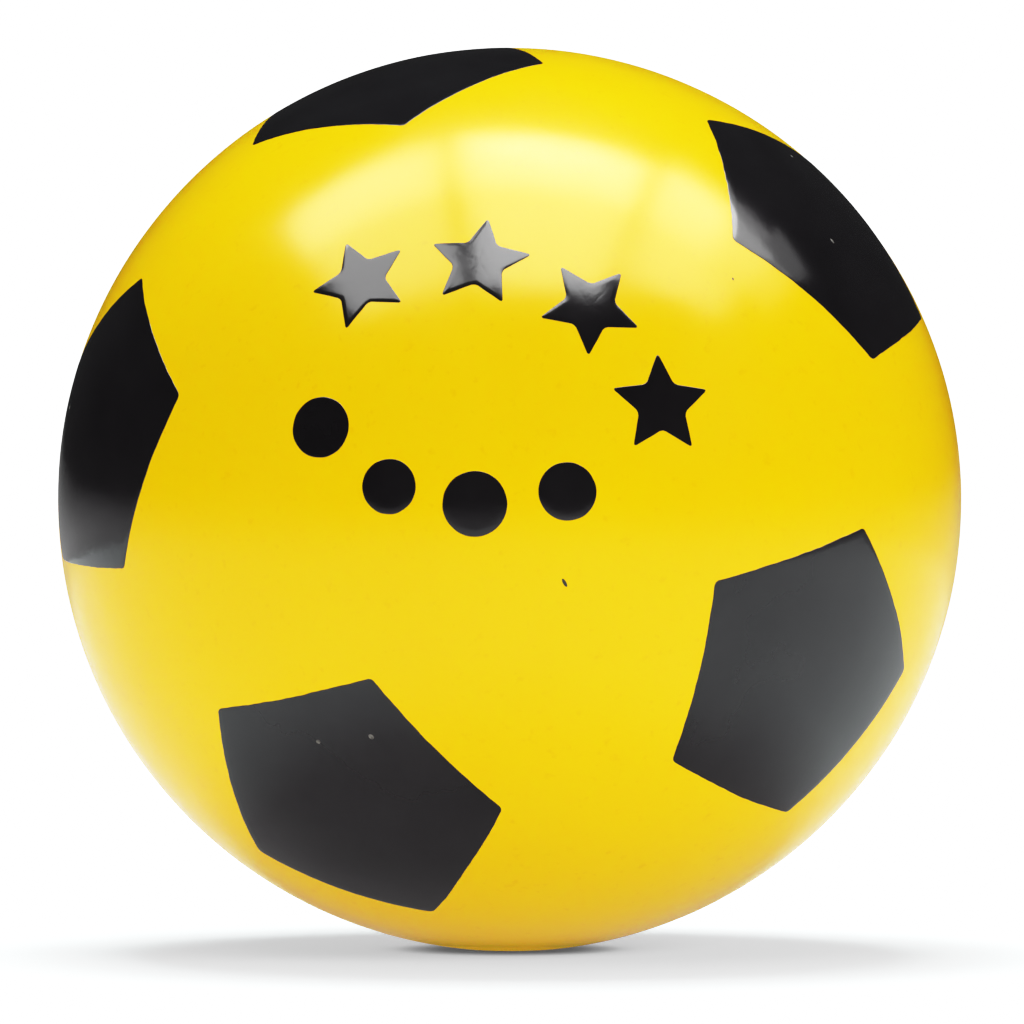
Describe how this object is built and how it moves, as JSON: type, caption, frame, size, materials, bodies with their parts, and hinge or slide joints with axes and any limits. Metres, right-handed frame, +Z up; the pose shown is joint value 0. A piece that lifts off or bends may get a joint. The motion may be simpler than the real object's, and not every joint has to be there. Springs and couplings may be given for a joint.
{
  "type": "vinyl play ball",
  "caption": "Small inflated soft-vinyl play ball, yellow with black printed pentagons and a motif of stars and dots, with a push-in air-valve plug at the back.",
  "frame": {"origin": "middle of the small flat on which the ball rests", "axes": "+Z up, +X to the viewer's right, and the printed motif faces -Y"},
  "size_m": [0.1399, 0.1405, 0.1399],
  "materials": {
    "yellow_vinyl": "gloss",
    "black_ink": "gloss",
    "valve_rubber": "matte"
  },
  "bodies": {
    "ball": {"ball_shell": "yellow_vinyl", "black_pentagon_01": "black_ink", "black_pentagon_02": "black_ink", "black_pentagon_03": "black_ink", "black_pentagon_04": "black_ink", "black_pentagon_05": "black_ink", "black_pentagon_06": "black_ink", "black_pentagon_07": "black_ink", "black_pentagon_08": "black_ink", "black_pentagon_09": "black_ink", "black_pentagon_10": "black_ink", "black_pentagon_11": "black_ink", "printed_star_01": "black_ink", "printed_star_02": "black_ink", "printed_star_03": "black_ink", "printed_star_04": "black_ink", "printed_dot_01": "black_ink", "printed_dot_02": "black_ink", "printed_dot_03": "black_ink", "printed_dot_04": "black_ink"},
    "valve": {"valve_plug": "valve_rubber"}
  },
  "joints": [
    {"name": "valve_pull", "type": "slide", "parent": "ball", "child": "valve", "axis": [-0.0886, 0.9477, 0.3067], "range_m": [0, 0.016]}
  ]
}
